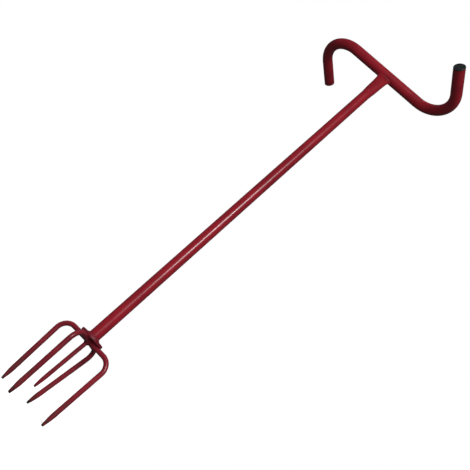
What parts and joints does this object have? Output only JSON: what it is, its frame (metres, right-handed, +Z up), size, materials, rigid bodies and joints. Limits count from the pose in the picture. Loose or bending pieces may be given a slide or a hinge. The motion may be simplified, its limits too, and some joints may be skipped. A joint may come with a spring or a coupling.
{
  "type": "garden claw",
  "caption": "Upright twist cultivator: tubular steel shaft with an S-shaped welded handlebar and a claw of bent round rods for loosening soil by turning",
  "frame": {"origin": "on the ground between the tips of the bent tines, under the shaft's axis", "axes": "Z up along the shaft, X along the straight part of the handlebar to the right, Y away from the camera"},
  "size_m": [0.3238, 0.3018, 1],
  "materials": {
    "painted_steel": "red powder coat on mild steel, satin to gloss, worn dark at the points",
    "painted_weld": "weld bead under the same red powder coat",
    "black_plastic": "black polyethylene moulding, fine matte"
  },
  "bodies": {
    "root": {"handlebar": "painted_steel", "shaft_tube": "painted_steel", "tine_plate": "painted_steel", "right_tine": "painted_steel", "front_tine": "painted_steel", "left_tine": "painted_steel", "back_tine": "painted_steel", "centre_tine": "painted_steel", "handle_weld": "painted_weld", "shaft_weld": "painted_weld", "right_tine_weld": "painted_weld", "front_tine_weld": "painted_weld", "left_tine_weld": "painted_weld", "back_tine_weld": "painted_weld", "centre_weld": "painted_weld", "left_end_cap": "black_plastic", "right_end_cap": "black_plastic"}
  },
  "joints": []
}
